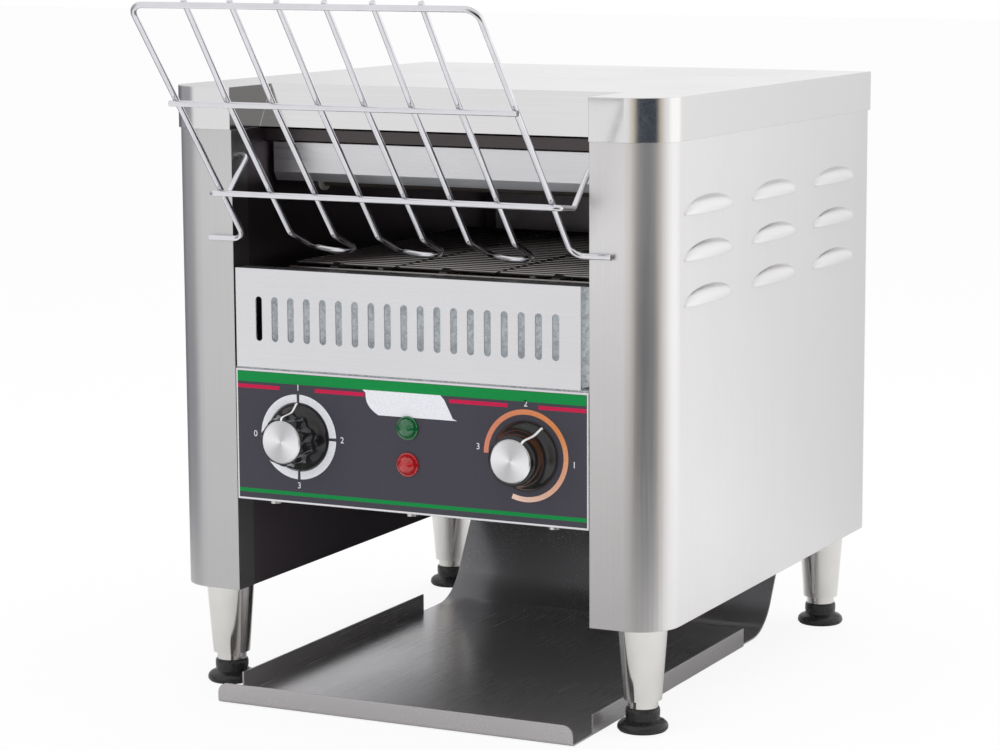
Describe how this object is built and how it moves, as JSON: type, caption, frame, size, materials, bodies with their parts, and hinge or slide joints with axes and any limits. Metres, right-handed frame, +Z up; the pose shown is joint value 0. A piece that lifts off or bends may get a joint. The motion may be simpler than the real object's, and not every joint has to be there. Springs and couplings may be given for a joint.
{
  "type": "conveyor toaster",
  "caption": "Countertop conveyor toaster in brushed steel with a leaning wire bread rack, a rod belt, two knobs, two lamps and a sliding tray on four legs.",
  "frame": {"origin": "on the table, at the centre of the footprint of the whole object, rack and gland included", "axes": "+Z up, the front with the rack and controls faces -Y, +X to the right seen from the front"},
  "size_m": [0.38, 0.528, 0.4797],
  "materials": {
    "shell": "satin",
    "tray_sheet": "satin",
    "galvanised": "satin",
    "belt_steel": "satin",
    "machined_steel": "satin",
    "heater_tube": "matte",
    "ceramic": "matte",
    "chrome_wire": "polished",
    "leg_nickel": "polished",
    "foot_rubber": "matte",
    "panel_print": "satin",
    "knob_black": "gloss",
    "spun_cap": "satin",
    "lens_green": "gloss",
    "lens_red": "gloss",
    "black_plastic": "matte",
    "motor_enamel": "satin",
    "circuit_board": "satin",
    "screw_steel": "satin"
  },
  "bodies": {
    "housing": {"left_side_panel": "shell", "right_side_panel": "shell", "top_cover": "shell", "back_panel": "shell", "left_inner_wall": "shell", "right_inner_wall": "shell", "left_base_plate": "galvanised", "right_base_plate": "galvanised", "grille_panel": "shell", "grille_backing": "galvanised", "control_panel": "shell", "control_overlay": "panel_print", "control_box": "galvanised", "control_box_lid": "galvanised", "panel_screws": "screw_steel", "cable_gland": "black_plastic", "upper_reflector": "shell", "deflector_plate": "shell", "lower_reflector": "shell", "heating_elements": "heater_tube", "element_bushes": "ceramic", "belt_rails": "machined_steel", "shaft_bearings": "machined_steel", "conveyor_belt": "belt_steel", "drive_chain": "belt_steel", "gear_motor": "motor_enamel", "selector_switch": "black_plastic", "speed_control": "black_plastic", "power_lamp": "lens_green", "heat_lamp": "lens_red", "control_board": "circuit_board", "fan_frame": "black_plastic", "fan_guard": "chrome_wire", "front_left_leg": "leg_nickel", "front_right_leg": "leg_nickel", "rear_left_leg": "leg_nickel", "rear_right_leg": "leg_nickel"},
    "bread_rack": {"rack_frame_wire": "chrome_wire", "rack_cross_rod": "chrome_wire", "rack_hanger_wire": "chrome_wire", "rack_guide_wires": "chrome_wire"},
    "selector_dial": {"selector_spindle": "machined_steel", "selector_knob": "knob_black", "selector_knob_cap": "spun_cap"},
    "speed_dial": {"speed_spindle": "machined_steel", "speed_knob": "knob_black", "speed_knob_cap": "spun_cap"},
    "rear_roller": {"rear_belt_shaft": "machined_steel", "rear_belt_sprockets": "machined_steel", "rear_drive_sprocket": "machined_steel"},
    "front_roller": {"front_belt_shaft": "machined_steel", "front_belt_sprockets": "machined_steel"},
    "motor_shaft": {"motor_output": "machined_steel"},
    "fan": {"fan_rotor": "black_plastic"},
    "tray": {"slide_tray": "tray_sheet"},
    "front_left_levelling_foot": {"front_left_foot": "foot_rubber"},
    "front_right_levelling_foot": {"front_right_foot": "foot_rubber"},
    "rear_left_levelling_foot": {"rear_left_foot": "foot_rubber"},
    "rear_right_levelling_foot": {"rear_right_foot": "foot_rubber"}
  },
  "joints": [
    {"name": "rack_swing", "type": "hinge", "parent": "housing", "child": "bread_rack", "pos_m": [0, -0.116, 0.3705], "axis": [1, 0, 0], "range_deg": [-70, 0]},
    {"name": "selector_turn", "type": "hinge", "parent": "housing", "child": "selector_dial", "pos_m": [-0.0835, -0.128, 0.1828], "axis": [0, 1, 0], "range_deg": [0, 270]},
    {"name": "speed_turn", "type": "hinge", "parent": "housing", "child": "speed_dial", "pos_m": [0.087, -0.128, 0.1828], "axis": [0, 1, 0], "range_deg": [-120, 180]},
    {"name": "rear_roller_turn", "type": "hinge", "parent": "housing", "child": "rear_roller", "pos_m": [0, 0.182, 0.27468], "axis": [1, 0, 0], "continuous": true, "deforming": ["conveyor_belt", "drive_chain"]},
    {"name": "front_roller_turn", "type": "hinge", "parent": "housing", "child": "front_roller", "pos_m": [0, -0.068, 0.27468], "axis": [1, 0, 0], "continuous": true},
    {"name": "motor_turn", "type": "hinge", "parent": "housing", "child": "motor_shaft", "pos_m": [0, 0.07519, 0.185], "axis": [1, 0, 0], "continuous": true},
    {"name": "fan_turn", "type": "hinge", "parent": "housing", "child": "fan", "pos_m": [-0.02, -0.008, 0.1394], "axis": [0, 0, 1], "continuous": true},
    {"name": "tray_slide", "type": "slide", "parent": "housing", "child": "tray", "axis": [0, -1, 0], "range_m": [0, 0.25]},
    {"name": "front_left_foot_screw", "type": "slide", "parent": "housing", "child": "front_left_levelling_foot", "axis": [0, 0, 1], "range_m": [-0.01, 0]},
    {"name": "front_right_foot_screw", "type": "slide", "parent": "housing", "child": "front_right_levelling_foot", "axis": [0, 0, 1], "range_m": [-0.01, 0]},
    {"name": "rear_left_foot_screw", "type": "slide", "parent": "housing", "child": "rear_left_levelling_foot", "axis": [0, 0, 1], "range_m": [-0.01, 0]},
    {"name": "rear_right_foot_screw", "type": "slide", "parent": "housing", "child": "rear_right_levelling_foot", "axis": [0, 0, 1], "range_m": [-0.01, 0]}
  ],
  "couplings": [
    {"joint": "front_roller_turn", "follows": "rear_roller_turn", "ratio": 1},
    {"joint": "motor_turn", "follows": "rear_roller_turn", "ratio": 1.6667}
  ]
}
